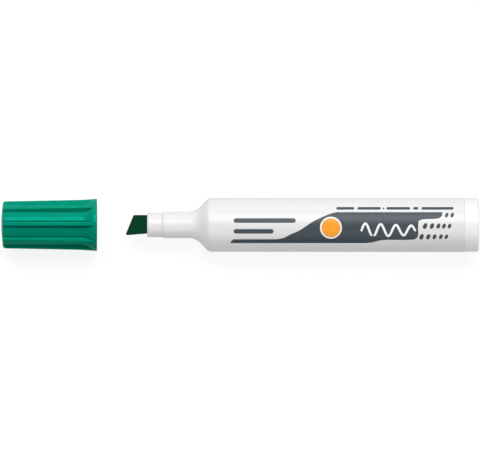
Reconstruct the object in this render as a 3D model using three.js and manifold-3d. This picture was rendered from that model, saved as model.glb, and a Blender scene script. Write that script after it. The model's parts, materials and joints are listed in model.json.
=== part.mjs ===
// A whiteboard marker with a chisel nib, lying on its side, its ribbed cap pulled off in front of the nib.
// Millimetres, +Z up. The pen and the cap share one axis along X, and the nib points to -X.
// The origin is under the middle of the whole, on the surface that the barrel lies on.
import * as THREE from "three";
import { mergeVertices } from "three/addons/utils/BufferGeometryUtils.js";
import Module from "manifold-3d";

const wasm = await Module();
wasm.setup();

// ---- Driving dimensions, all in millimetres unless a name says otherwise ----
const SEGMENTS = 32; // flats round every turned piece, one of them facing straight down
const ARC_STEPS = 5; // chords in one curve of a profile
const SLIDE_FIT = 0.12; // clearance all round a part that is pushed into place
const RIB_ROOT = 0.4; // how far an inside rib runs into the wall that it stands on
const RIB_RUNOUT = 1; // the length over which an inside rib slopes down to the wall at its end
const OVERRUN = 1; // how far a cutting or trimming solid runs past what it shapes

// The pen. Distances along it are measured back from the rim of its slightly domed front.
const NIB_REACH = 7.1; // how far the nib stands out of the nose
const NECK_START = 5; // the nose ends and the neck starts
const NECK_END = 13.75;
const BARREL_END = 105.7;
const PEN_END = 110.5;
const NOSE_R = 4.13;
const NECK_R = 4.43;
const BARREL_FRONT_R = 9.04; // the barrel is drafted, a little thicker at its rear
const BARREL_REAR_R = 9.14;
const BARREL_WALL = 1.0;

// The cap. Distances along it are measured from its closed end.
const CAP_LENGTH = 31.9;
const CAP_END_R = 7.84;
const CAP_MOUTH_R = 8.77;
const CAP_RIBS = 8;
const CAP_RIB_WIDTH = 1.28;
const CAP_FLUTE_R = 6.87; // the floor of the flutes between the ribs
const CAP_BORE_R = 5.95;
const CAP_TURN = -2; // degrees from straight up to the nearest rib

// While the cap is off, it lies this far in front of the nib's tip.
const CAP_GAP = 9.6;

const overallLength = CAP_LENGTH + CAP_GAP + NIB_REACH + PEN_END;
const axisHeight = BARREL_REAR_R * Math.cos(Math.PI / SEGMENTS);

// ---- Materials ----
const plastic = (color, roughness) => new THREE.MeshStandardMaterial({ color, roughness, metalness: 0 });
const whitePlastic = plastic(0xf0f0f0, 0.3);
const greenPlastic = plastic(0x029072, 0.35);
const naturalPlastic = plastic(0xe3e7e2, 0.45);
const inkedFelt = plastic(0x023c22, 0.95);
const reservoirFibre = plastic(0x0b6a4a, 1.0);
const clearFilm = plastic(0xdfe8ea, 0.15);

// ---- Ways of making solids ----

// Turns a closed geometry into a solid that can be joined and cut.
function solidOf(geometry) {
  const bare = geometry.clone();
  bare.deleteAttribute("normal");
  bare.deleteAttribute("uv");
  const merged = mergeVertices(bare, 1e-4);
  return new wasm.Manifold(
    new wasm.Mesh({
      numProp: 3,
      vertProperties: new Float32Array(merged.attributes.position.array),
      triVerts: new Uint32Array(merged.index.array),
    }),
  );
}

function piece(name, solid, material) {
  const { vertProperties, triVerts } = solid.getMesh();
  const geometry = new THREE.BufferGeometry();
  geometry.setAttribute("position", new THREE.BufferAttribute(vertProperties, 3));
  geometry.setIndex(new THREE.BufferAttribute(triVerts, 1));
  geometry.computeVertexNormals();
  const mesh = new THREE.Mesh(geometry, material);
  mesh.name = name;
  return mesh;
}

// Turns a profile about the X axis. It is drawn as (distance along X, radius), up its -X end first.
function turned(profile) {
  const points = profile.getPoints(ARC_STEPS).map((p) => new THREE.Vector2(p.y, p.x));
  const geometry = new THREE.LatheGeometry(points, SEGMENTS, Math.PI / SEGMENTS);
  return solidOf(geometry.rotateZ(-Math.PI / 2));
}

// An upright plate through the axis, outlined by points of (distance along X, height).
function plate(points, thickness) {
  const outline = new THREE.Shape(points.map(([x, y]) => new THREE.Vector2(x, y)));
  const geometry = new THREE.ExtrudeGeometry(outline, { depth: thickness, bevelEnabled: false });
  return solidOf(geometry.translate(0, 0, -thickness / 2).rotateX(Math.PI / 2));
}

// Joins copies of a solid, evenly spaced round the axis.
function ring(solid, count) {
  let joined = solid;
  for (let i = 1; i < count; i += 1) {
    joined = joined.add(solid.rotate([(360 * i) / count, 0, 0]));
  }
  return joined;
}

// ---- Nib: a felt bar with its end cut on a slant, narrowed behind the nose ----
const NIB_THICKNESS = 3.3; // between its two flat faces, which look up and down
const NIB_BEVEL = 0.35;
const NIB_NEAR_EDGE = 3.3;
const NIB_FAR_EDGE = -2.9;
const NIB_FAR_CORNER = -3.45; // the bar widens towards the long corner of its tip
const NIB_SLANT = 2.6; // how far the short corner lies behind the long one
const NIB_CORNER = 0.4; // the long corner is cut off by this much
const NIB_HEAD_END = 4.2;
const NIB_STEM_HALF = 2.2;
const NIB_END = 28.5;
const NIB_POINT_HALF = 1.4; // the stem's end is tapered to enter the reservoir
const NIB_TAPER = 3;

// The nib's flat face, with a margin added all round it.
function nibOutline(margin = 0) {
  return new THREE.Shape([
    new THREE.Vector2(-NIB_REACH - margin, NIB_FAR_CORNER + NIB_CORNER),
    new THREE.Vector2(-NIB_REACH + NIB_CORNER, NIB_FAR_CORNER - margin),
    new THREE.Vector2(0, NIB_FAR_EDGE - margin),
    new THREE.Vector2(NIB_HEAD_END + margin, NIB_FAR_EDGE - margin),
    new THREE.Vector2(NIB_HEAD_END + margin, -NIB_STEM_HALF - margin),
    new THREE.Vector2(NIB_END - NIB_TAPER, -NIB_STEM_HALF - margin),
    new THREE.Vector2(NIB_END + margin, -NIB_POINT_HALF - margin),
    new THREE.Vector2(NIB_END + margin, NIB_POINT_HALF + margin),
    new THREE.Vector2(NIB_END - NIB_TAPER, NIB_STEM_HALF + margin),
    new THREE.Vector2(NIB_HEAD_END + margin, NIB_STEM_HALF + margin),
    new THREE.Vector2(NIB_HEAD_END + margin, NIB_NEAR_EDGE + margin),
    new THREE.Vector2(-NIB_REACH + NIB_SLANT - margin, NIB_NEAR_EDGE + margin),
  ]);
}

function nib() {
  const depth = NIB_THICKNESS - 2 * NIB_BEVEL;
  const geometry = new THREE.ExtrudeGeometry(nibOutline(), {
    depth,
    bevelThickness: NIB_BEVEL,
    bevelSize: NIB_BEVEL,
    bevelOffset: -NIB_BEVEL,
    bevelSegments: 2,
  });
  return solidOf(geometry.translate(0, 0, -depth / 2));
}

// The room that a slot or a socket leaves for the nib.
function nibRoom() {
  const depth = NIB_THICKNESS + 2 * SLIDE_FIT;
  const geometry = new THREE.ExtrudeGeometry(nibOutline(SLIDE_FIT), { depth, bevelEnabled: false });
  return solidOf(geometry.translate(0, 0, -depth / 2));
}

// ---- Nib holder: a domed nose with a slot, on a hollow plug that fills the neck ----
const DOME_R = 3.6; // the dome's rim, where the nose's rounded lip starts
const DOME_SAG = 0.15;
const LIP_BEND = 0.15;
const LIP_END = 0.9;
const HOLDER_BORE_R = 2.95;
const HOLDER_WALL_END = 4.6;
const HOLDER_END = 14.4;
const HOLDER_TAPER = 0.4;
const NECK_BORE_R = 3.6;
const PLUG_R = NECK_BORE_R - SLIDE_FIT / 2;

function nibHolder() {
  const domeRadius = (DOME_R ** 2 + DOME_SAG ** 2) / (2 * DOME_SAG);
  const domeAngle = Math.asin(DOME_R / domeRadius);
  const profile = new THREE.Path();
  profile.moveTo(-DOME_SAG, 0);
  profile.absarc(domeRadius - DOME_SAG, 0, domeRadius, Math.PI, Math.PI - domeAngle, true);
  profile.quadraticCurveTo(LIP_BEND, NOSE_R, LIP_END, NOSE_R);
  profile.lineTo(NECK_START - SLIDE_FIT / 2, NOSE_R);
  profile.lineTo(NECK_START - SLIDE_FIT / 2, PLUG_R);
  profile.lineTo(HOLDER_END - HOLDER_TAPER, PLUG_R);
  profile.lineTo(HOLDER_END, PLUG_R - HOLDER_TAPER);
  profile.lineTo(HOLDER_END, HOLDER_BORE_R);
  profile.lineTo(HOLDER_WALL_END, HOLDER_BORE_R);
  profile.lineTo(HOLDER_WALL_END, 0);
  return turned(profile).subtract(nibRoom());
}

// ---- Barrel: neck, shoulder and tube in one moulding, with ribs inside that centre the reservoir ----
const NECK_RAMP_END = 5.6; // the neck's front edge is a short ramp up from the nose
const SHOULDER_ANGLE = THREE.MathUtils.degToRad(47);
const SHOULDER_FILLET = 5.6;
const SHOULDER_CORNER = [20.05, 8.56]; // where the sloping shoulder turns into the barrel
const SHOULDER_END = 21.6;
const INNER_SLOPE_START = 16.7;
const INNER_SLOPE_END = 21;
const REAR_ROUND = 0.2;
const INNER_RIBS = 6;
const INNER_RIB_START = 18;
const INNER_RIB_WIDTH = 0.8;
const INNER_RIB_R = 7.3;
const INNER_RIB_END = 96;
const STOP_R = 5.6; // each rib starts with a step that the reservoir's front rests on
const STOP_END = 23;

function barrel() {
  const profile = new THREE.Path();
  profile.moveTo(NECK_START, NECK_BORE_R);
  profile.lineTo(NECK_START, NOSE_R);
  profile.lineTo(NECK_RAMP_END, NECK_R);
  profile.lineTo(NECK_END, NECK_R);
  profile.absarc(
    NECK_END,
    NECK_R + SHOULDER_FILLET,
    SHOULDER_FILLET,
    -Math.PI / 2,
    SHOULDER_ANGLE - Math.PI / 2,
    false,
  );
  profile.lineTo(...SHOULDER_CORNER);
  profile.lineTo(SHOULDER_END, BARREL_FRONT_R);
  profile.lineTo(BARREL_END - REAR_ROUND, BARREL_REAR_R);
  profile.lineTo(BARREL_END, BARREL_REAR_R - REAR_ROUND);
  profile.lineTo(BARREL_END, BARREL_REAR_R - BARREL_WALL);
  profile.lineTo(INNER_SLOPE_END, BARREL_FRONT_R - BARREL_WALL);
  profile.lineTo(INNER_SLOPE_START, NECK_BORE_R);
  profile.closePath();
  const rib = plate(
    [
      [INNER_RIB_START, STOP_R],
      [STOP_END, STOP_R],
      [STOP_END, INNER_RIB_R],
      [INNER_RIB_END - RIB_RUNOUT, INNER_RIB_R],
      [INNER_RIB_END, BARREL_REAR_R - BARREL_WALL / 2],
      [SHOULDER_END, BARREL_FRONT_R - BARREL_WALL / 2],
    ],
    INNER_RIB_WIDTH,
  );
  return turned(profile).add(ring(rib, INNER_RIBS));
}

// ---- Ink reservoir: a fibre rod in a film sleeve ----
const RESERVOIR_START = STOP_END + SLIDE_FIT;
const RESERVOIR_END = 97.9;
const CORE_R = 6.85;
const FILM_INNER_R = 6.9;
const FILM_OUTER_R = 7.15;

function reservoirCore() {
  const profile = new THREE.Path();
  profile.moveTo(RESERVOIR_START, 0);
  profile.lineTo(RESERVOIR_START, CORE_R);
  profile.lineTo(RESERVOIR_END, CORE_R);
  profile.lineTo(RESERVOIR_END, 0);
  return turned(profile).subtract(nibRoom());
}

function reservoirFilm() {
  const profile = new THREE.Path();
  profile.moveTo(RESERVOIR_START, FILM_INNER_R);
  profile.lineTo(RESERVOIR_START, FILM_OUTER_R);
  profile.lineTo(RESERVOIR_END, FILM_OUTER_R);
  profile.lineTo(RESERVOIR_END, FILM_INNER_R);
  profile.closePath();
  return turned(profile);
}

// ---- End plug: a cup pushed into the rear of the barrel, with a cross inside that holds the reservoir ----
const END_R = 8.99;
const END_FILLET = 0.5;
const END_WALL = 1.3;
const SPIGOT_START = 99.7;
const SPIGOT_LEAD = 0.5;
const SPIGOT_BORE_R = 7.2;
const CROSS_START = RESERVOIR_END + SLIDE_FIT;
const CROSS_FRONT_R = 6;
const CROSS_WIDTH = 1;
const CROSS_ARMS = 4;

function endPlug() {
  const spigotR = BARREL_REAR_R - BARREL_WALL - SLIDE_FIT / 2;
  const profile = new THREE.Path();
  profile.moveTo(PEN_END - END_WALL, 0);
  profile.lineTo(PEN_END - END_WALL, SPIGOT_BORE_R);
  profile.lineTo(SPIGOT_START, SPIGOT_BORE_R);
  profile.lineTo(SPIGOT_START, spigotR - SPIGOT_LEAD / 2);
  profile.lineTo(SPIGOT_START + SPIGOT_LEAD, spigotR);
  profile.lineTo(BARREL_END + SLIDE_FIT / 2, spigotR);
  profile.lineTo(BARREL_END + SLIDE_FIT / 2, END_R);
  profile.lineTo(PEN_END - END_FILLET, END_R);
  profile.quadraticCurveTo(PEN_END, END_R, PEN_END, END_R - END_FILLET);
  profile.lineTo(PEN_END, 0);
  const arm = plate(
    [
      [CROSS_START, 0],
      [CROSS_START, CROSS_FRONT_R],
      [SPIGOT_START + RIB_ROOT, SPIGOT_BORE_R + RIB_ROOT],
      [PEN_END - END_WALL / 2, SPIGOT_BORE_R + RIB_ROOT],
      [PEN_END - END_WALL / 2, 0],
    ],
    CROSS_WIDTH,
  );
  return turned(profile).add(ring(arm, CROSS_ARMS));
}

// ---- Cap shell: ribs standing on a fluted tube, which flares into a smooth mouth ----
const CAP_DOME_SAG = 0.65;
const CAP_EDGE_ROUND = 0.95;
const CAP_EDGE_BEND = 0.1;
const CAP_RIB_SINK = 0.02; // how far the ribs' tops lie below the smooth mouth's edge
const CAP_FLARE_START = 23.5;
const CAP_FLARE_START_R = 8.27;
const CAP_FLARE_BEND = [29.3, 8.38];
const FLUTE_RAMP_START = 26.3;
const FLUTE_RAMP_BEND = 29;
const FLUTE_RAMP_END = 30.55;
const FLUTE_RAMP_END_R = 8.61;
const CAP_RIB_FOOT_R = 6.4;
const CAP_END_WALL = 1.3;
const CAP_BORE_CHAMFER = 0.5;
const CAP_MOUTH_BORE_R = 7.6;
const CAP_LEAD_IN = 3;
const GRIP_RIBS = 6; // ribs in the closed end that hold the liner
const GRIP_RIB_WIDTH = 0.9;
const GRIP_RIB_R = 5.1;
const GRIP_RIB_END = 11;

// The cap's domed end, rounded into a side that starts at the given radius.
function startCapProfile(sideR) {
  const domeRadius = (CAP_END_R ** 2 + CAP_DOME_SAG ** 2) / (2 * CAP_DOME_SAG);
  const domeAngle = Math.asin((sideR - CAP_EDGE_ROUND) / domeRadius);
  const edge = domeRadius * (1 - Math.cos(domeAngle));
  const profile = new THREE.Path();
  profile.moveTo(0, 0);
  profile.absarc(domeRadius, 0, domeRadius, Math.PI, Math.PI - domeAngle, true);
  profile.quadraticCurveTo(edge + CAP_EDGE_BEND, sideR, edge + CAP_EDGE_ROUND, sideR);
  return profile;
}

function capShell() {
  const ribTops = startCapProfile(CAP_END_R);
  ribTops.lineTo(CAP_FLARE_START, CAP_FLARE_START_R);
  ribTops.quadraticCurveTo(...CAP_FLARE_BEND, CAP_LENGTH, CAP_MOUTH_R - CAP_RIB_SINK);
  ribTops.lineTo(CAP_LENGTH, 0);

  const tube = startCapProfile(CAP_FLUTE_R);
  tube.lineTo(FLUTE_RAMP_START, CAP_FLUTE_R);
  tube.quadraticCurveTo(FLUTE_RAMP_BEND, CAP_FLUTE_R, FLUTE_RAMP_END, FLUTE_RAMP_END_R);
  tube.lineTo(CAP_LENGTH, CAP_MOUTH_R);
  tube.lineTo(CAP_LENGTH, 0);

  const bore = new THREE.Path();
  bore.moveTo(CAP_END_WALL, 0);
  bore.lineTo(CAP_END_WALL, CAP_BORE_R - CAP_BORE_CHAMFER);
  bore.lineTo(CAP_END_WALL + CAP_BORE_CHAMFER, CAP_BORE_R);
  bore.lineTo(CAP_LENGTH - CAP_LEAD_IN, CAP_BORE_R);
  bore.lineTo(CAP_LENGTH, CAP_MOUTH_BORE_R);
  bore.lineTo(CAP_LENGTH + OVERRUN, CAP_MOUTH_BORE_R);
  bore.lineTo(CAP_LENGTH + OVERRUN, 0);

  const rib = plate(
    [
      [0, CAP_RIB_FOOT_R],
      [FLUTE_RAMP_END, CAP_RIB_FOOT_R],
      [FLUTE_RAMP_END, CAP_MOUTH_R + OVERRUN],
      [0, CAP_MOUTH_R + OVERRUN],
    ],
    CAP_RIB_WIDTH,
  );
  const gripRib = plate(
    [
      [CAP_END_WALL - RIB_ROOT, GRIP_RIB_R],
      [GRIP_RIB_END - RIB_RUNOUT, GRIP_RIB_R],
      [GRIP_RIB_END, CAP_BORE_R + RIB_ROOT],
      [CAP_END_WALL - RIB_ROOT, CAP_BORE_R + RIB_ROOT],
    ],
    GRIP_RIB_WIDTH,
  );
  const ribs = ring(rib, CAP_RIBS).intersect(turned(ribTops));
  return turned(tube).add(ribs).subtract(turned(bore)).add(ring(gripRib, GRIP_RIBS));
}

// ---- Cap liner: an inner cup that seals on the nose when the cap is on ----
const LINER_START = CAP_END_WALL + SLIDE_FIT;
const LINER_END = 18.05;
const LINER_R = 4.95;
const LINER_BORE_R = 4.2;
const LINER_END_WALL = 1;
const LINER_LEAD_IN = 0.8;
const LINER_MOUTH_R = 4.6;
const LINER_EDGE = 0.4;

function capLiner() {
  const profile = new THREE.Path();
  profile.moveTo(LINER_START, 0);
  profile.lineTo(LINER_START, LINER_R - LINER_EDGE);
  profile.lineTo(LINER_START + LINER_EDGE, LINER_R);
  profile.lineTo(LINER_END, LINER_R);
  profile.lineTo(LINER_END, LINER_MOUTH_R);
  profile.lineTo(LINER_END - LINER_LEAD_IN, LINER_BORE_R);
  profile.lineTo(LINER_START + LINER_END_WALL, LINER_BORE_R);
  profile.lineTo(LINER_START + LINER_END_WALL, 0);
  return turned(profile);
}

// ---- The marker ----
const pen = new THREE.Group();
pen.add(
  piece("barrel", barrel(), whitePlastic),
  piece("nib_holder", nibHolder(), whitePlastic),
  piece("nib", nib(), inkedFelt),
  piece("reservoir_core", reservoirCore(), reservoirFibre),
  piece("reservoir_film", reservoirFilm(), clearFilm),
  piece("end_plug", endPlug(), whitePlastic),
);
pen.position.set(overallLength / 2 - PEN_END, 0, axisHeight);

const cap = new THREE.Group();
const shell = piece("cap_shell", capShell(), greenPlastic);
shell.rotation.x = THREE.MathUtils.degToRad(CAP_TURN);
cap.add(shell, piece("cap_liner", capLiner(), naturalPlastic));
cap.position.set(-overallLength / 2, 0, axisHeight);

const marker = new THREE.Group();
marker.add(pen, cap);

export default marker;
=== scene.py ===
import json
import math

import bmesh
import bpy
from mathutils import Matrix, Vector, noise
from mathutils.geometry import tessellate_polygon

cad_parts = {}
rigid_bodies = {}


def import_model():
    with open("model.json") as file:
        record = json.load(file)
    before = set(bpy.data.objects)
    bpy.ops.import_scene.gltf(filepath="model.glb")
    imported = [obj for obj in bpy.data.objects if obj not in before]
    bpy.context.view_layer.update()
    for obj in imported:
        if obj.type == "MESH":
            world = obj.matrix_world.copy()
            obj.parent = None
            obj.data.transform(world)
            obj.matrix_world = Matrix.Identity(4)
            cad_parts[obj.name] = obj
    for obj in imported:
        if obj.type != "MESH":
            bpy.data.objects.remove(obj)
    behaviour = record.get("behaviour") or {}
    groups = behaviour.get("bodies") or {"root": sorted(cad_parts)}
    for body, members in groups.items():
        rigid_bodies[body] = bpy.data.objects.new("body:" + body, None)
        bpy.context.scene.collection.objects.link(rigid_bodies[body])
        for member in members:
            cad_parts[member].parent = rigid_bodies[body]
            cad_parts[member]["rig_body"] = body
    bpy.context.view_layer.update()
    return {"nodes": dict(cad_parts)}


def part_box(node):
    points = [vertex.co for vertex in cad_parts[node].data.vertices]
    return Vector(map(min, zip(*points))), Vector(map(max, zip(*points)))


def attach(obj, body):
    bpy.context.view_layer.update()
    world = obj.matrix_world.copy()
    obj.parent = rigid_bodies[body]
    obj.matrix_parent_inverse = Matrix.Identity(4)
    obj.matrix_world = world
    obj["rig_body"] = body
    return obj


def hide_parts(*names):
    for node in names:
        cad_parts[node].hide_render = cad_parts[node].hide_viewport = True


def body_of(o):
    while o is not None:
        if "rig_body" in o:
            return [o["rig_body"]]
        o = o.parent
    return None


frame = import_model()

# Every length below is in millimetres until MM turns it into metres.
MM = 0.001


def low(node, axis):
    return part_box(node)[0][axis] / MM


def high(node, axis):
    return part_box(node)[1][axis] / MM


DOME_SAG = 0.15  # how far the nose's front bulges
PEN_X = low("nib_holder", 0) + DOME_SAG  # the rim of the nose: distances along the pen start here
CAP_X = low("cap_shell", 0)  # the cap's closed end: distances along the cap start here
AXIS_Z = (low("barrel", 2) + high("barrel", 2)) / 2
BARREL_END = high("barrel", 0) - PEN_X
PEN_END = high("end_plug", 0) - PEN_X
CAP_LENGTH = high("cap_shell", 0) - CAP_X
NIB_REACH = PEN_X - low("nib", 0)
BARREL_REAR_R = AXIS_Z  # the barrel just touches the surface it lies on
BARREL_FRONT_R = BARREL_REAR_R - 0.1


# ---------------------------------------------------------------- building meshes


def add_piece(name, verts, faces, material, body, nodes=(), sharp=38):
    mesh = bpy.data.meshes.new(name)
    mesh.from_pydata([Vector(v) * MM for v in verts], [], faces)
    bm = bmesh.new()
    bm.from_mesh(mesh)
    bmesh.ops.remove_doubles(bm, verts=bm.verts, dist=1e-7)
    bmesh.ops.recalc_face_normals(bm, faces=bm.faces)
    bm.to_mesh(mesh)
    bm.free()
    mesh.shade_smooth()
    mesh.set_sharp_from_angle(angle=math.radians(sharp))
    piece = bpy.data.objects.new(name, mesh)
    bpy.context.scene.collection.objects.link(piece)
    piece.data.materials.append(material)
    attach(piece, body)
    if nodes:
        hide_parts(*nodes)
    return piece


def arc(cx, cr, radius, start, end, steps=10):
    """Points of an arc in the plane of (distance along, radius), between two angles in degrees."""
    turn = [math.radians(start + (end - start) * i / steps) for i in range(steps + 1)]
    return [(cx + radius * math.cos(t), cr + radius * math.sin(t)) for t in turn]


def bend(a, b, c, steps=10):
    """Points of a curve from a to c that leaves and arrives along its corner b."""
    out = []
    for i in range(steps + 1):
        t = i / steps
        out.append(
            tuple((1 - t) ** 2 * p + 2 * t * (1 - t) * q + t * t * r for p, q, r in zip(a, b, c))
        )
    return out


def straight(a, b, steps):
    return [tuple(p + (q - p) * i / steps for p, q in zip(a, b)) for i in range(steps + 1)]


def turned(profile, x0, closed=False, count=240):
    """A surface of revolution about the pen's axis."""
    verts, rings = [], []
    for s, r in profile:
        if r < 1e-6:
            rings.append([len(verts)])
            verts.append((x0 + s, 0, AXIS_Z))
            continue
        rings.append(list(range(len(verts), len(verts) + count)))
        for j in range(count):
            t = 2 * math.pi * j / count
            verts.append((x0 + s, r * math.sin(t), AXIS_Z + r * math.cos(t)))
    pairs = list(zip(rings, rings[1:]))
    if closed:
        pairs.append((rings[-1], rings[0]))
    return verts, ring_faces(pairs)


def ring_faces(pairs):
    faces = []
    for a, b in pairs:
        count = max(len(a), len(b))
        for j in range(count):
            k = (j + 1) % count
            if len(a) == 1 and len(b) == 1:
                continue
            if len(a) == 1:
                faces.append((a[0], b[j], b[k]))
            elif len(b) == 1:
                faces.append((a[j], b[0], a[k]))
            else:
                faces.append((a[j], b[j], b[k], a[k]))
    return faces


# ---------------------------------------------------------------- materials


class Look:
    """A material, with short ways to add its nodes."""

    def __init__(self, name):
        self.material = bpy.data.materials.new(name)
        self.material.use_nodes = True
        self.tree = self.material.node_tree
        self.shader = self.tree.nodes["Principled BSDF"]
        self.coords = self.add("ShaderNodeTexCoord").outputs["Object"]

    def add(self, kind, **settings):
        made = self.tree.nodes.new(kind)
        for key, value in settings.items():
            setattr(made, key, value)
        return made

    def join(self, source, target):
        self.tree.links.new(source, target)

    def stretch(self, x, y, z):
        """Object coordinates with each axis scaled, so that a pattern runs along one of them."""
        made = self.add("ShaderNodeMapping")
        made.inputs["Scale"].default_value = (x, y, z)
        self.join(self.coords, made.inputs["Vector"])
        return made.outputs["Vector"]

    def noise(self, scale, detail=3.0, vector=None, rough=0.5):
        made = self.add("ShaderNodeTexNoise")
        made.inputs["Scale"].default_value = scale
        made.inputs["Detail"].default_value = detail
        made.inputs["Roughness"].default_value = rough
        self.join(vector or self.coords, made.inputs["Vector"])
        return made.outputs["Fac"]

    def spread(self, value, low_in, high_in, low_out, high_out):
        made = self.add("ShaderNodeMapRange")
        for key, number in (
            ("From Min", low_in),
            ("From Max", high_in),
            ("To Min", low_out),
            ("To Max", high_out),
        ):
            made.inputs[key].default_value = number
        self.join(value, made.inputs["Value"])
        return made.outputs["Result"]

    def blend(self, fac, a, b):
        """Mixes two colours, each a tuple or a socket."""
        made = self.add("ShaderNodeMix", data_type="RGBA")
        for socket, value in ((made.inputs[6], a), (made.inputs[7], b)):
            if isinstance(value, tuple):
                socket.default_value = (*value, 1.0)
            else:
                self.join(value, socket)
        self.join(fac, made.inputs[0])
        return made.outputs[2]

    def sum(self, a, b, scale=1.0):
        made = self.add("ShaderNodeMath", operation="MULTIPLY_ADD")
        self.join(b, made.inputs[0])
        made.inputs[1].default_value = scale
        self.join(a, made.inputs[2])
        return made.outputs[0]

    def bump(self, height, distance, strength=1.0):
        made = self.add("ShaderNodeBump")
        made.inputs["Distance"].default_value = distance
        made.inputs["Strength"].default_value = strength
        self.join(height, made.inputs["Height"])
        self.join(made.outputs["Normal"], self.shader.inputs["Normal"])

    def set(self, **values):
        for key, value in values.items():
            socket = self.shader.inputs[key.replace("_", " ")]
            if isinstance(value, bpy.types.NodeSocket):
                self.join(value, socket)
            elif isinstance(value, tuple) and len(value) == 3 and len(socket.default_value) == 4:
                socket.default_value = (*value, 1.0)
            else:
                socket.default_value = value


def moulded_plastic(name, color, shade, roughness, milky=0.06, streak=0.0):
    """Moulded plastic: faint clouding, a fine skin, long drag marks and a few dull handling marks."""
    look = Look(name)
    clouds = look.noise(90, 4)
    drag = look.noise(900, 2, look.stretch(0.06, 1, 1))
    skin = look.noise(5200, 2)
    marks = look.noise(420, 5, look.stretch(0.5, 1, 1), 0.7)
    tone = look.blend(look.spread(clouds, 0.3, 0.7, 0, 1), shade, color)
    dull = tuple(c * 0.9 for c in shade)
    tone = look.blend(look.spread(marks, 0.68, 0.8, 0, 0.3 + streak), tone, dull)
    gloss = look.spread(clouds, 0.3, 0.7, roughness - 0.03, roughness + 0.03)
    gloss = look.sum(gloss, look.spread(marks, 0.6, 0.75, 0, 1), 0.12)
    look.set(
        Base_Color=tone,
        Roughness=gloss,
        IOR=1.49,
        Subsurface_Weight=milky,
        Subsurface_Radius=(1.0, 1.0, 1.0),
        Subsurface_Scale=0.0006,
    )
    height = look.sum(look.spread(skin, 0, 1, 0, 0.25), drag, 0.5)
    look.bump(height, 0.00002, 0.6)
    return look


def printed_ink(name, color, roughness=0.34):
    """Screen-printed ink: a slightly uneven film with a dry, finely pitted surface."""
    look = Look(name)
    body = look.noise(700, 4)
    pits = look.noise(3800, 3, rough=0.65)
    thin = tuple(min(1.0, c * 1.18 + 0.004) for c in color)
    tone = look.blend(look.spread(body, 0.35, 0.7, 0, 1), color, thin)
    look.set(Base_Color=tone, Roughness=look.spread(pits, 0.3, 0.7, roughness - 0.05, roughness + 0.07))
    look.bump(pits, 0.000008, 0.5)
    return look


WHITE = moulded_plastic("white_plastic", (0.775, 0.775, 0.775), (0.76, 0.76, 0.76), 0.13).material
BRIGHT = moulded_plastic("bright_white_plastic", (0.86, 0.86, 0.86), (0.84, 0.84, 0.84), 0.13).material
NATURAL = moulded_plastic("natural_plastic", (0.74, 0.77, 0.73), (0.68, 0.71, 0.67), 0.4, 0.2).material
SLATE = printed_ink("slate_ink", (0.034, 0.048, 0.063)).material
AMBER = printed_ink("amber_ink", (0.95, 0.32, 0.004)).material
WHITE_INK = printed_ink("white_ink", (0.86, 0.86, 0.86)).material


def green_plastic():
    look = moulded_plastic("green_plastic", (0.0005, 0.39, 0.245), (0.0004, 0.36, 0.225), 0.13, 0.0)
    facing = look.add("ShaderNodeLayerWeight").outputs["Facing"]
    sheen = look.spread(facing, 0.1, 0.42, 0.55, 0.02)
    look.set(Specular_Tint=(0.02, 1.0, 0.88), Specular_IOR_Level=sheen)
    bend_of_surface = look.add("ShaderNodeNewGeometry").outputs["Pointiness"]
    rub = look.spread(bend_of_surface, 0.54, 0.64, 0, 0.25)
    # Painted shade: where the surface bends inward, at the feet of the ribs, the colour is mixed up to
    # 92% towards near-black, to darken the shadow lines there
    painted_crevice_shade = look.spread(bend_of_surface, 0.4, 0.495, 0.92, 0)
    tone = look.shader.inputs["Base Color"].links[0].from_socket
    tone = look.blend(rub, tone, (0.001, 0.36, 0.24))
    # the painted crevice shade goes into the base colour here
    look.set(Base_Color=look.blend(painted_crevice_shade, tone, (0.0002, 0.02, 0.012)))
    return look.material


def felt(name, dark, light):
    """Bonded fibre soaked in ink: long matted strands, pores between them and uneven ink."""
    look = Look(name)
    strands = look.noise(2600, 4, look.stretch(0.12, 1, 1), 0.6)
    pores = look.noise(5200, 3, rough=0.7)
    pools = look.noise(260, 3)
    mix = look.sum(look.spread(strands, 0.3, 0.7, 0, 0.7), look.spread(pools, 0.35, 0.65, 0, 0.3))
    look.set(
        Base_Color=look.blend(mix, dark, light),
        Roughness=look.spread(pores, 0.3, 0.7, 0.72, 0.95),
        Specular_IOR_Level=0.08,
    )
    look.bump(look.sum(strands, pores, 0.6), 0.00006, 0.8)
    return look.material


def clear_film():
    look = Look("clear_film")
    wrinkles = look.noise(160, 4, look.stretch(0.4, 1, 1), 0.6)
    tone = look.blend(look.spread(wrinkles, 0.3, 0.7, 0, 1), (0.62, 0.68, 0.68), (0.74, 0.8, 0.8))
    look.set(Base_Color=tone, Roughness=look.spread(wrinkles, 0.3, 0.7, 0.08, 0.2))
    look.bump(wrinkles, 0.0002, 0.5)
    return look.material


GREEN = green_plastic()
NIB_FELT = felt("inked_felt", (0.0004, 0.03, 0.01), (0.0008, 0.056, 0.02))
RESERVOIR_FIBRE = felt("ink_fibre", (0.002, 0.09, 0.05), (0.006, 0.19, 0.11))


# ---------------------------------------------------------------- barrel

NOSE_R = 4.13
NECK_R = 4.43
NECK_START = 5.0
NECK_RAMP_END = 5.65
NECK_END = 13.75
NECK_BORE_R = 3.6
NECK_EDGE_SINK = 0.06  # the neck's front edge starts a little below the nose
SHOULDER_FILLET = 5.6
SHOULDER_ANGLE = 47
SHOULDER_CORNER = (20.05, 8.56)
SHOULDER_END = 21.8
BARREL_WALL = 1.0
BARREL_REAR_ROUND = 0.1
INNER_SLOPE_START = 16.7
INNER_SLOPE_END = 21


def barrel_radius(s):
    """The barrel's outer radius at a distance behind the nose, behind the shoulder."""
    along = (s - SHOULDER_END) / (BARREL_END - SHOULDER_END)
    return BARREL_FRONT_R + (BARREL_REAR_R - BARREL_FRONT_R) * along


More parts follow.
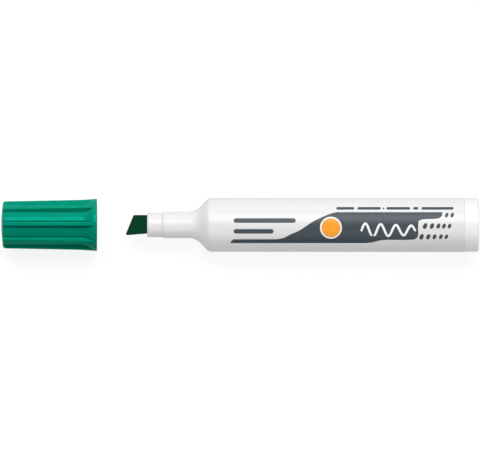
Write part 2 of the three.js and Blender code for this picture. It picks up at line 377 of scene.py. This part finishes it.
def barrel():
    front, rear = BARREL_FRONT_R, BARREL_REAR_R
    cx, cr = SHOULDER_CORNER
    start, ramp_end = NECK_START, NECK_RAMP_END
    edge = NOSE_R - NECK_EDGE_SINK
    profile = bend((start, edge), (start, edge + 0.05), (start + 0.06, edge + 0.08), 4)
    profile += bend((start + 0.15, edge + 0.12), (ramp_end - 0.2, NECK_R), (ramp_end, NECK_R), 10)
    profile += straight((ramp_end + 0.4, NECK_R), (NECK_END - 0.01, NECK_R), 6)
    profile += arc(NECK_END, NECK_R + SHOULDER_FILLET, SHOULDER_FILLET, -90, SHOULDER_ANGLE - 90, 24)
    profile += straight(profile[-1], (cx - 0.3, cr - 0.31), 4)[1:]
    profile += bend((cx - 0.25, cr - 0.26), (cx, cr), (cx + 0.28, cr + 0.14), 6)
    tube = SHOULDER_END + 1
    last_bend = (SHOULDER_END - 0.9, front - 0.01)
    profile += bend((cx + 0.33, cr + 0.165), last_bend, (SHOULDER_END + 0.4, front), 14)
    profile += straight((tube, barrel_radius(tube)), (BARREL_END - 0.5, rear), 60)
    corner = BARREL_REAR_ROUND
    profile += arc(BARREL_END - corner, rear - corner, corner, 90, 0, 6)
    profile += [(BARREL_END, rear - BARREL_WALL), (INNER_SLOPE_END, front - BARREL_WALL)]
    profile += [(INNER_SLOPE_START, NECK_BORE_R), (NECK_START, NECK_BORE_R)]
    verts, faces = turned(profile, PEN_X, closed=True)
    add_piece("barrel_shell", verts, faces, WHITE, "pen", ["barrel"], 50)


# ---------------------------------------------------------------- nose and nib

NIB_THICKNESS = 3.3
NIB_CORNER = 0.4  # the long corner is cut off by this much
NIB_NEAR_EDGE = 3.3
NIB_FAR_EDGE = -2.9
NIB_FAR_CORNER = -3.45
NIB_SLANT = 2.6
NIB_HEAD_END = 4.2
NIB_ROUND = 0.28
NIB_GRID = 0.3  # the spacing of the points that make the felt's uneven surface
NIB_UNEVEN = 0.022
NIB_OUTLINE = [
    (-NIB_REACH, NIB_FAR_CORNER + NIB_CORNER),
    (-NIB_REACH + NIB_CORNER, NIB_FAR_CORNER),
    (0, NIB_FAR_EDGE),
    (NIB_HEAD_END, NIB_FAR_EDGE),
    (NIB_HEAD_END, NIB_NEAR_EDGE),
    (-NIB_REACH + NIB_SLANT, NIB_NEAR_EDGE),
]
SLOT_GAP = 0.06  # between the nib's edges and the slot
SLOT_GAP_ABOVE = 0.08
DOME_R = 3.6
LIP_END = 0.9
NOSE_SEAM = 0.03  # between the nose and the neck
HOLDER_R = 3.54
HOLDER_END = 14.4


def prism(outline, half, name):
    """A loose prism with its outline in the plane of X and Y, half its thickness to each side."""
    mesh = bpy.data.meshes.new(name)
    n = len(outline)
    verts = [(PEN_X + x, y, AXIS_Z - half) for x, y in outline]
    verts += [(PEN_X + x, y, AXIS_Z + half) for x, y in outline]
    faces = [tuple(range(n))[::-1], tuple(range(n, 2 * n))]
    faces += [(i, (i + 1) % n, n + (i + 1) % n, n + i) for i in range(n)]
    mesh.from_pydata([Vector(v) * MM for v in verts], [], faces)
    piece = bpy.data.objects.new(name, mesh)
    bpy.context.scene.collection.objects.link(piece)
    return piece


def apply_all(piece):
    """Replaces a piece's mesh with what its modifiers make of it."""
    graph = bpy.context.evaluated_depsgraph_get()
    mesh = bpy.data.meshes.new_from_object(piece.evaluated_get(graph))
    piece.modifiers.clear()
    piece.data = mesh


def nose():
    radius = (DOME_R**2 + DOME_SAG**2) / (2 * DOME_SAG)
    angle = math.degrees(math.asin(DOME_R / radius))
    profile = [(-DOME_SAG, 0)] + arc(radius - DOME_SAG, 0, radius, 180, 180 - angle, 24)[1:]
    profile += bend(profile[-1], (0.12, NOSE_R), (LIP_END, NOSE_R), 16)[1:]
    seam = NECK_START - NOSE_SEAM
    profile += straight((LIP_END + 0.3, NOSE_R), (seam - 0.1, NOSE_R), 6)
    profile += bend((seam - 0.1, NOSE_R), (seam, NOSE_R), (seam, NOSE_R - 0.1), 5)[1:]
    profile += [(seam, HOLDER_R), (HOLDER_END, HOLDER_R), (HOLDER_END, 0)]
    verts, faces = turned(profile, PEN_X, count=192)
    piece = add_piece("nose_with_slot", verts, faces, WHITE, "pen", ["nib_holder"], 40)
    far, near = NIB_FAR_EDGE - SLOT_GAP, NIB_NEAR_EDGE + SLOT_GAP
    front, back = -4, NIB_HEAD_END + 0.1
    outline = [(front, far), (back, far), (back, near), (front, near)]
    cutter = prism(outline, NIB_THICKNESS / 2 + SLOT_GAP_ABOVE, "slot")
    cut = piece.modifiers.new("slot", "BOOLEAN")
    cut.object = cutter
    cut.solver = "EXACT"
    apply_all(piece)
    piece.data.set_sharp_from_angle(angle=math.radians(40))
    bpy.data.objects.remove(cutter)


def nib():
    piece = prism(NIB_OUTLINE, NIB_THICKNESS / 2, "nib_felt")
    piece.data.materials.append(NIB_FELT)
    round_off = piece.modifiers.new("round", "BEVEL")
    round_off.width = NIB_ROUND * MM
    round_off.segments = 4
    round_off.limit_method = "ANGLE"
    apply_all(piece)
    bm = bmesh.new()
    bm.from_mesh(piece.data)
    for axis in range(3):
        for i in range(-50, 51):
            at = Vector((PEN_X, 0, AXIS_Z))
            at[axis] += i * NIB_GRID
            normal = Vector((0, 0, 0))
            normal[axis] = 1
            geometry = bm.verts[:] + bm.edges[:] + bm.faces[:]
            bmesh.ops.bisect_plane(bm, geom=geometry, plane_co=at * MM, plane_no=normal, dist=1e-7)
    bm.normal_update()
    for v in bm.verts:
        p = v.co / MM
        rough = noise.noise(Vector((p.x * 0.8, p.y * 3, p.z * 3)))
        rough += 0.6 * noise.noise(Vector((p.x * 3, p.y * 6, p.z * 6)) + Vector((9, 4, 2)))
        v.co += v.normal * (NIB_UNEVEN * rough - 0.01) * MM
    bmesh.ops.triangulate(bm, faces=[f for f in bm.faces if len(f.verts) > 4])
    bm.to_mesh(piece.data)
    bm.free()
    piece.data.shade_smooth()
    piece.data.set_sharp_from_angle(angle=math.radians(50))
    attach(piece, "pen")
    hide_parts("nib")


# ---------------------------------------------------------------- end plug


PLUG_STEP = 0.14  # the plug is this much smaller in radius than the barrel
PLUG_SKIRT_R = 8.04
PLUG_SEAM = 0.02
PLUG_SEAM_ROUND = 0.08
PLUG_REAR_ROUND = 0.5


def end_plug():
    r = BARREL_REAR_R - PLUG_STEP
    end = PEN_END
    face = BARREL_END + PLUG_SEAM
    small, large = PLUG_SEAM_ROUND, PLUG_REAR_ROUND
    profile = [(BARREL_END - 1, 0), (BARREL_END - 1, PLUG_SKIRT_R), (face, PLUG_SKIRT_R)]
    profile += bend((face, r - small), (face, r), (face + small, r), 5)
    profile += straight((BARREL_END + 0.6, r), (end - 0.6, r), 8)
    profile += arc(end - large, r - large, large, 90, 0, 10)
    profile += [(end, 6), (end, 3), (end, 1.3)]
    profile += gate_mark(end)
    verts, faces = turned(profile, PEN_X)
    add_piece("rear_plug", verts, faces, BRIGHT, "pen", ["end_plug"], 50)


def gate_mark(end):
    """A shallow dimple with a pip in it, in the middle of the plug's end."""
    profile = bend((end, 1.15), (end, 1.0), (end - 0.12, 0.95), 4)
    profile += [(end - 0.2, 0.85), (end - 0.2, 0.4)]
    profile += bend((end - 0.2, 0.4), (end - 0.05, 0.38), (end - 0.04, 0.2), 4)[1:]
    return profile + [(end - 0.04, 0)]


# ---------------------------------------------------------------- cap

RIBS = 8
RIB_TURN = 2.0  # degrees from straight up to the nearest rib
RIB_HALF = 0.64
FLUTE_R = 6.87  # the floor of the flutes between the ribs
RIB_END_R = 7.84  # over the ribs, at the closed end
RIB_FLARE_R = 8.27  # over the ribs, where the cap starts to flare
FLARE_START = 23.5
MOUTH_R = 8.77
FLUTE_FADE_START = 26.2  # the flutes' floors sweep up to the smooth mouth
FLUTE_FADE_END = 30.6
BORE_R = 5.95
BORE_END = 1.3  # the inside face of the closed end
MOUTH_BORE_R = 7.55
END_SAG = 0.65  # how far the closed end bulges
END_ROUND = 0.95
SIDES_START = 1.9
LIP = 0.25  # the rounded edge of the mouth
FOOT = 0.15
CREST = 0.14
DIP = 0.32  # the floor of a flute dips beside each rib
DIP_WIDTH = 0.3


def even(points, count):
    """Points evenly spaced along a line of points."""
    lengths = [0.0]
    for a, b in zip(points, points[1:]):
        lengths.append(lengths[-1] + math.dist(a, b))
    out, k = [], 0
    for i in range(count):
        want = lengths[-1] * i / (count - 1)
        while k < len(points) - 2 and lengths[k + 1] < want:
            k += 1
        span = lengths[k + 1] - lengths[k]
        t = (want - lengths[k]) / span if span else 0
        out.append(tuple(p + (q - p) * t for p, q in zip(points[k], points[k + 1])))
    return out


def crest_radius(u):
    """The radius over the ribs, at a distance from the cap's closed end."""
    if u <= FLARE_START:
        return RIB_END_R + (RIB_FLARE_R - RIB_END_R) * (u - 1) / (FLARE_START - 1)
    t = (u - FLARE_START) / (CAP_LENGTH - FLARE_START)
    draft = 0.17
    return RIB_FLARE_R + draft * t + (MOUTH_R - RIB_FLARE_R - draft) * t**2.6


def floor_radius(u):
    """The radius of the flutes' floors, which sweep up to the smooth mouth."""
    start, end = FLUTE_FADE_START, FLUTE_FADE_END
    if u <= start:
        return FLUTE_R
    if u >= end:
        return crest_radius(u)
    t = (u - start) / (end - start)
    lift = t**2.3 * (1 - 0.25 * max(0.0, t - 0.75) * 4 * (1 - t))
    return FLUTE_R + (crest_radius(end) - FLUTE_R) * lift


def between(a, b, t):
    return (a[0] + t * (b[0] - a[0]), a[1] + t * (b[1] - a[1]))


def cap_section(floor_at, crest_at):
    """One ring of the fluted outside, between its floor's and its crest's (distance, radius)."""
    height = max(crest_at[1] - floor_at[1], 1e-6)
    foot, crest = min(FOOT / height, 0.45), min(CREST / height, 0.45)
    dip = DIP * min(1.0, height) / height
    wall = RIB_HALF + 0.05
    half = [(0.0, 1.0), (RIB_HALF * 0.4, 1.0)]
    for i in range(7):
        t = math.radians(90 - 15 * i)
        half.append((RIB_HALF - CREST * (1 - math.cos(t)), 1 - crest * (1 - math.sin(t))))
    for i in range(7):
        t = math.radians(90 - 15 * i)
        half.append((wall + FOOT * (1 - math.sin(t)), foot * (1 - math.cos(t)) - dip))
    points = []
    for across, b in half:
        s, r = between(floor_at, crest_at, b)
        points.append((math.degrees(across / max(r, 6.5)), s, r))
    foot_angle = points[-1][0]
    for i in range(1, 17):
        t = (i / 16) ** 1.5
        angle = foot_angle + (180 / RIBS - foot_angle) * t
        away = math.radians(angle - foot_angle) * FLUTE_R / DIP_WIDTH
        b = -dip * max(0.0, 1 - away) ** 1.5
        points.append((angle, *between(floor_at, crest_at, b)))
    ring = []
    for k in range(RIBS):
        centre = 360 * k / RIBS + RIB_TURN
        ring += [(centre + a, s, r) for a, s, r in points[:-1]]
        ring += [(centre + 360 / RIBS - a, s, r) for a, s, r in points[:0:-1]]
    return ring


def cap_shell():
    round_r = END_ROUND
    radius = (RIB_END_R**2 + END_SAG**2) / (2 * END_SAG)

    def dome(r):
        return (radius - math.sqrt(radius**2 - r**2), r)

    def side(r):
        edge = dome(r - round_r)
        return bend(edge, (edge[0] + 0.12, r), (edge[0] + round_r, r), 20)

    join_r = FLUTE_R - round_r
    joint = SIDES_START
    floors = [dome(join_r * i / 12) for i in range(1, 12)]
    crests = list(floors)
    floors += even(side(FLUTE_R) + [(joint, FLUTE_R)], 18)
    crest_path = [dome(join_r + (RIB_END_R - FLUTE_R) * i / 10) for i in range(10)]
    crest_path += side(RIB_END_R)
    crests += even(crest_path + [(joint, crest_radius(joint))], 18)
    fade_start, fade_end = FLUTE_FADE_START - 0.6, FLUTE_FADE_END + 0.2
    stations = [joint + (fade_start - joint) * i / 30 for i in range(1, 31)]
    stations += [fade_start + (fade_end - fade_start) * i / 30 for i in range(1, 31)]
    stations += [fade_end + (CAP_LENGTH - LIP - fade_end) * i / 4 for i in range(1, 5)]
    floors += [(u, floor_radius(u)) for u in stations]
    crests += [(u, crest_radius(u)) for u in stations]
    end = CAP_LENGTH
    mouth = arc(end - 0.22, crest_radius(end - LIP) - 0.2, 0.22, 80, 0, 6)
    mouth += arc(end - 0.2, MOUTH_BORE_R + LIP, 0.2, 0, -50, 5)
    mouth += straight((end - 0.4, MOUTH_BORE_R), (end - 3, BORE_R + 0.05), 6)
    mouth += straight((end - 3.4, BORE_R), (BORE_END + 0.6, BORE_R), 20)
    corner = (BORE_END, BORE_R)
    mouth += bend((BORE_END + 0.6, BORE_R), corner, (BORE_END, BORE_R - 0.6), 6)[1:]
    mouth.append((BORE_END, 3))
    rings = [cap_section(f, c) for f, c in zip(floors, crests)]
    angles = [a for a, _, _ in rings[0]]
    rings += [[(a, s, r) for a in angles] for s, r in mouth]
    verts = [(CAP_X, 0, AXIS_Z)]
    loops = [[0]]
    for ring in rings:
        loops.append(list(range(len(verts), len(verts) + len(ring))))
        for a, s, r in ring:
            t = math.radians(a)
            verts.append((CAP_X + s, r * math.sin(t), AXIS_Z + r * math.cos(t)))
    loops.append([len(verts)])
    verts.append((CAP_X + BORE_END, 0, AXIS_Z))
    faces = ring_faces(list(zip(loops, loops[1:])))
    add_piece("cap_ribbed_shell", verts, faces, GREEN, "cap", ["cap_shell"], 60)


GRIP_RIBS = 6
GRIP_RIB_HALF = 0.45
GRIP_RIB_OUTLINE = [(1.2, 5.2), (1.3, 5.1), (9.6, 5.1), (10.0, 5.2), (11, 6.1), (11, 6.3), (1.2, 6.3)]


def cap_grip_ribs():
    """Ribs in the closed end of the cap, which hold the liner."""
    verts, faces = [], []
    outline = GRIP_RIB_OUTLINE
    n = len(outline)
    for k in range(GRIP_RIBS):
        turn = Matrix.Rotation(math.radians(360 / GRIP_RIBS * k - RIB_TURN), 3, "X")
        base = len(verts)
        for half in (-GRIP_RIB_HALF, GRIP_RIB_HALF):
            for s, r in outline:
                p = turn @ Vector((0, half, r))
                verts.append((CAP_X + s, p.y, AXIS_Z + p.z))
        faces.append(tuple(base + i for i in range(n)))
        faces.append(tuple(base + n + i for i in range(n))[::-1])
        for i in range(n):
            j = (i + 1) % n
            faces.append((base + i, base + j, base + n + j, base + n + i))
    add_piece("cap_grip_ribs", verts, faces, GREEN, "cap", (), 30)


LINER_START = 1.42
LINER_END = 18.05
LINER_R = 4.95
LINER_BORE_R = 4.2
LINER_FLOOR = 2.42


def cap_liner():
    start, end, r, bore = LINER_START, LINER_END, LINER_R, LINER_BORE_R
    profile = [(start, 0), (start, r - 0.55)]
    profile += bend((start, r - 0.45), (start, r), (start + 0.45, r), 6)
    profile += straight((2.5, r), (end - 0.25, r), 12)
    profile += bend((end - 0.2, r), (end, r), (end, r - 0.15), 4)
    profile += [(end, r - 0.27)]
    profile += bend((end, bore + 0.4), (end - 0.15, bore + 0.3), (end - 0.8, bore), 6)
    profile += straight((17.0, bore), (2.9, bore), 12)
    profile += bend((2.9, bore), (LINER_FLOOR, bore), (LINER_FLOOR, bore - 0.5), 6)[1:]
    profile += [(LINER_FLOOR, 0)]
    verts, faces = turned(profile, CAP_X, count=144)
    add_piece("cap_inner_seal", verts, faces, NATURAL, "liner", ["cap_liner"], 50)


# ---------------------------------------------------------------- print on the barrel


def smooth_step(a, b, c, d, t):
    """The value between b and c of a smooth curve through a, b, c and d."""
    square = (2 * a - 5 * b + 4 * c - d) * t**2
    cube = (3 * b - a - 3 * c + d) * t**3
    return 0.5 * (2 * b + (c - a) * t + square + cube)


def smooth_line(points, steps=8):
    """A rounded line through the points."""
    out = []
    for i in range(len(points) - 1):
        p0, p1 = points[max(i - 1, 0)], points[i]
        p2, p3 = points[i + 1], points[min(i + 2, len(points) - 1)]
        for k in range(steps):
            out.append(tuple(smooth_step(*four, k / steps) for four in zip(p0, p1, p2, p3)))
    return out + [points[-1]]


def bar(s0, s1, y, height):
    """A straight bar with round ends."""
    r = height / 2
    turns = [math.radians(a) for a in range(-90, 91, 15)]
    right = [(s1 - r + r * math.cos(t), y + r * math.sin(t)) for t in turns]
    left = [(s0 + r - r * math.cos(t), y - r * math.sin(t)) for t in turns]
    return right + left


def oval(s, y, width, height, lean=0.0, steps=40):
    out = []
    for i in range(steps):
        t = 2 * math.pi * i / steps
        up = height / 2 * math.sin(t)
        out.append((s + width / 2 * math.cos(t) + lean * up, y + up))
    return out


def stroke(points, width):
    """A line of even width with round ends, as an outline."""
    left, right = [], []
    for i, p in enumerate(points):
        a, b = points[max(i - 1, 0)], points[min(i + 1, len(points) - 1)]
        d = Vector((b[0] - a[0], b[1] - a[1])).normalized() * width / 2
        left.append((p[0] - d.y, p[1] + d.x))
        right.append((p[0] + d.y, p[1] - d.x))

    def cap(centre, start):
        turns = [math.radians(start + 30 * i) for i in range(1, 6)]
        r = width / 2
        return [(centre[0] + r * math.cos(t), centre[1] + r * math.sin(t)) for t in turns]

    def heading(a, b):
        return math.degrees(math.atan2(b[1] - a[1], b[0] - a[0]))

    ahead = cap(points[-1], heading(points[-2], points[-1]) - 90)
    behind = cap(points[0], heading(points[0], points[1]) + 90)
    return right + ahead + left[::-1] + behind


INK_DEPTH = 0.03  # how far the films reach into the barrel's skin
INK_LIFT = 0.02
TOP_INK_LIFT = 0.03  # the disc, its ring and the wave lie on the band
INK_STRIPS = 26


def printed(name, shapes, material, lift, strip=0.35):
    """Thin closed films of ink that follow the barrel.

    Each shape is an outline and its holes, seen from above.
    """
    bm = bmesh.new()
    for shape in shapes:
        loops = [[Vector((s, y, 0)) for s, y in loop] for loop in shape]
        flat = [v for loop in loops for v in loop]
        corners = [bm.verts.new(v) for v in flat]
        for tri in tessellate_polygon(loops):
            if len(set(tri)) == 3:
                bm.faces.new([corners[i] for i in tri])
    bmesh.ops.remove_doubles(bm, verts=bm.verts, dist=1e-6)
    for i in range(-INK_STRIPS, INK_STRIPS + 1):
        geometry = bm.verts[:] + bm.edges[:] + bm.faces[:]
        at, across = Vector((0, i * strip, 0)), Vector((0, 1, 0))
        bmesh.ops.bisect_plane(bm, geom=geometry, plane_co=at, plane_no=across, dist=1e-6)
    bmesh.ops.recalc_face_normals(bm, faces=bm.faces)
    bm.verts.ensure_lookup_table()
    for i, v in enumerate(bm.verts):
        v.index = i
    flat = [(v.co.x, v.co.y) for v in bm.verts]
    tris = [[v.index for v in f.verts] for f in bm.faces]
    tris = [t if turns_left([flat[i] for i in t]) else t[::-1] for t in tris]
    rim = {}
    for t in tris:
        for a, b in zip(t, t[1:] + t[:1]):
            rim[(a, b)] = True
    edges = [e for e in rim if (e[1], e[0]) not in rim]
    bm.free()
    verts = []
    for depth in (lift, -INK_DEPTH):
        for s, y in flat:
            r = barrel_radius(s)
            angle = math.asin(y / r)
            r += depth
            verts.append((PEN_X + s, r * math.sin(angle), AXIS_Z + r * math.cos(angle)))
    n = len(flat)
    faces = [tuple(t) for t in tris] + [tuple(i + n for i in t[::-1]) for t in tris]
    faces += [(b, a, a + n, b + n) for a, b in edges]
    add_piece(name, verts, faces, material, "pen", (), 40)


def turns_left(points):
    area = 0.0
    for a, b in zip(points, points[1:] + points[:1]):
        area += a[0] * b[1] - a[1] * b[0]
    return area > 0


# The band's edges, as (distance along the pen, distance across it).
BAND_START = [(28.75, -4.8), (42.9, -4.8)]
BAND_RISE = [(42.9, -4.8), (45.3, -4.4), (47.9, -3.1), (50.9, -1.75), (54.9, 0.9), (58.3, 2.6)]
BAND_CREST = [(58.3, 2.6), (60.3, 3.45), (62.7, 4.15), (64.5, 4.22)]
BAND_TOP = [(98.1, 4.22), (98.35, 4.1)]
BAND_TIP = [(98.35, 4.0), (97.9, 2.7), (96.3, 2.05), (92.6, 1.9), (90.9, 1.55), (90.3, 1.1)]
BAND_END = [(90.3, 1.1), (90.2, -1.2), (90.2, -3.4), (89.4, -4.6), (87.4, -4.95), (80, -4.95)]
BAND_FALL = [(80, -4.95), (77.6, -5.15), (75.3, -5.75), (72.9, -6.05)]
BAND_FOOT = [(27.75, -6.05), (28.1, -5.3)]


def print_band():
    top = BAND_START + smooth_line(BAND_RISE)[1:] + smooth_line(BAND_CREST)[1:] + BAND_TOP
    under = smooth_line(BAND_TIP) + smooth_line(BAND_END)[1:] + smooth_line(BAND_FALL)[1:]
    printed("print_band", [[top + under + BAND_FOOT]], SLATE, INK_LIFT)


LARGE_BARS = [(28.8, 49.5, 1.45), (28.8, 42.1, -2.15)]  # start, end and distance across
LARGE_BAR_WIDTH = 1.5
SMALL_BARS = [(63, 69), (70, 77.8), (79.7, 87.6), (88.6, 90.3), (91.3, 102)]
SMALL_BARS_Y = 5.5
SMALL_BAR_WIDTH = 0.85
DOTS_UPPER = (92.53, 94.83, 96.97, 98.83, 100.67)
DOTS_LOWER = (91.37, 93.6, 95.7, 97.8, 99.63)
DISC_AT = (61.2, -0.95)
DISC_WIDTH = 6.2
RING_WIDTH = 7.3
WAVE_START, WAVE_LENGTH, WAVE_Y = 71.4, 17.8, -1.8
WAVE_PERIODS = 3.5
WAVE_WIDTH = 0.75


def print_marks():
    """Plain bars, dots, a disc and a wave."""
    lines = [bar(a, b, y, LARGE_BAR_WIDTH) for a, b, y in LARGE_BARS]
    lines += [bar(a, b, SMALL_BARS_Y, SMALL_BAR_WIDTH) for a, b in SMALL_BARS]
    lines.append(oval(78.75, SMALL_BARS_Y, 0.6, 0.6))
    lines += [oval(s, 3.25, 1.15, 1.6, 0.25) for s in (99.73, 101.57)]
    for i, (upper, lower) in enumerate(zip(DOTS_UPPER, DOTS_LOWER)):
        shrink = 1 - 0.05 * i
        lines.append(oval(upper, -0.4, 1.4 * shrink, 1.95 * shrink, 0.25))
        lines.append(oval(lower, -3.95, 1.4 * shrink, 1.85 * shrink, 0.25))
    printed("print_marks", [[shape] for shape in lines], SLATE, INK_LIFT)
    disc = oval(*DISC_AT, DISC_WIDTH, DISC_WIDTH, steps=96)
    printed("print_disc", [[disc]], AMBER, TOP_INK_LIFT)
    hole = DISC_WIDTH + 0.1
    outside = oval(*DISC_AT, RING_WIDTH, RING_WIDTH, steps=96)
    inside = oval(*DISC_AT, hole, hole, steps=96)[::-1]
    printed("print_ring", [[outside, inside]], WHITE_INK, TOP_INK_LIFT)
    wave = []
    for i in range(121):
        t = i / 120
        height = (2.3 - 0.8 * t) * math.sin(2 * math.pi * WAVE_PERIODS * t)
        wave.append((WAVE_START + WAVE_LENGTH * t, WAVE_Y + height))
    printed("print_wave", [[stroke(wave, WAVE_WIDTH)]], WHITE_INK, TOP_INK_LIFT)


# ---------------------------------------------------------------- the hidden pieces keep their CAD shape


def hidden_pieces():
    for node, material in (("reservoir_core", RESERVOIR_FIBRE), ("reservoir_film", clear_film())):
        piece = frame["nodes"][node]
        piece.data.materials.clear()
        piece.data.materials.append(material)


# ---------------------------------------------------------------- surroundings

SKY = 0.2  # the soft light that comes from everywhere above
FLOOR_GLOW = 0.68  # the light that the white floor throws back up
FLOOR_HALF = 3  # metres
LAMP_DISTANCE = 2.0  # metres


def area_light(name, angle, rise, reach, radiance, only=None):
    """A soft panel over the pen, at an angle in degrees from straight up towards +Y.

    It spans rise degrees across the pen's axis and reach degrees along it. It lights only
    the given pieces, if there are any.
    """
    distance = LAMP_DISTANCE
    data = bpy.data.lights.new(name, "AREA")
    data.shape = "RECTANGLE"
    data.size = 2 * distance * math.tan(math.radians(reach / 2))
    data.size_y = 2 * distance * math.tan(math.radians(rise / 2))
    data.energy = radiance * math.pi * data.size * data.size_y
    light = bpy.data.objects.new(name, data)
    bpy.context.scene.collection.objects.link(light)
    t = math.radians(angle)
    light.location = (0, distance * math.sin(t), distance * math.cos(t))
    light.rotation_euler = (-t, 0, 0)
    light.visible_camera = False
    if only:
        lit = bpy.data.collections.new(name + "_lights")
        for piece in only:
            lit.objects.link(piece)
        light.light_linking.receiver_collection = lit


def seen_or_lit(tree, seen, lit):
    """Mixes two shaders: one for what the camera sees, one for the light that reaches the object."""
    mix = tree.nodes.new("ShaderNodeMixShader")
    path = tree.nodes.new("ShaderNodeLightPath")
    tree.links.new(path.outputs["Is Camera Ray"], mix.inputs[0])
    tree.links.new(lit, mix.inputs[1])
    tree.links.new(seen, mix.inputs[2])
    return mix.outputs[0]


def surroundings():
    world = bpy.data.worlds.new("studio")
    world.use_nodes = True
    tree = world.node_tree
    lit = tree.nodes["Background"]
    lit.inputs["Color"].default_value = (1, 1, 1, 1)
    lit.inputs["Strength"].default_value = SKY
    seen = tree.nodes.new("ShaderNodeBackground")
    seen.inputs["Color"].default_value = (0.93, 0.93, 0.93, 1)
    output = tree.nodes["World Output"]
    tree.links.new(seen_or_lit(tree, seen.outputs[0], lit.outputs[0]), output.inputs["Surface"])
    bpy.context.scene.world = world
    mesh = bpy.data.meshes.new("floor")
    h = FLOOR_HALF
    mesh.from_pydata([(-h, -h, 0), (h, -h, 0), (h, h, 0), (-h, h, 0)], [], [(0, 1, 2, 3)])
    floor = bpy.data.objects.new("floor", mesh)
    bpy.context.scene.collection.objects.link(floor)
    look = Look("floor")
    clouds = look.spread(look.noise(30, 3), 0.3, 0.7, 0, 1)
    tone = look.blend(clouds, (0.3, 0.3, 0.3), (0.31, 0.31, 0.31))
    look.set(Base_Color=tone, Roughness=0.9)
    look.set(Emission_Color=(1.0, 1.0, 1.0), Emission_Strength=0.84)
    dim = look.add("ShaderNodeEmission")
    dim.inputs["Strength"].default_value = FLOOR_GLOW
    output = look.tree.nodes["Material Output"]
    mixed = seen_or_lit(look.tree, look.shader.outputs[0], dim.outputs[0])
    look.join(mixed, output.inputs["Surface"])
    floor.data.materials.append(look.material)
    area_light("key", 30, 32, 60, 2.75)
    area_light("side", 70, 40, 90, 0.62)
    pen = [o for o in bpy.data.objects if o.type == "MESH" and body_of(o) == ["pen"]]
    area_light("pen_sky", 10, 150, 150, 0.36, pen)
    area_light("pen_low", -36, 28, 90, 0.5, pen)


CAMERA_DISTANCE = 6.0  # metres, so far off that the view is nearly without perspective
FRAME_WIDTH = 0.16  # metres of the pen's plane that the picture is wide


def camera():
    data = bpy.data.cameras.new("camera")
    shot = bpy.data.objects.new("camera", data)
    bpy.context.scene.collection.objects.link(shot)
    middle_x, middle_y = 0.02 * MM, -0.04 * MM
    shot.location = (middle_x, middle_y, AXIS_Z * MM + CAMERA_DISTANCE)
    data.sensor_width = 36
    data.lens = data.sensor_width * CAMERA_DISTANCE / FRAME_WIDTH
    bpy.context.scene.camera = shot
    bpy.context.scene.view_settings.view_transform = "Standard"


barrel()
nose()
nib()
end_plug()
cap_shell()
cap_grip_ribs()
cap_liner()
print_band()
print_marks()
hidden_pieces()
surroundings()
camera()

bpy.context.view_layer.update()
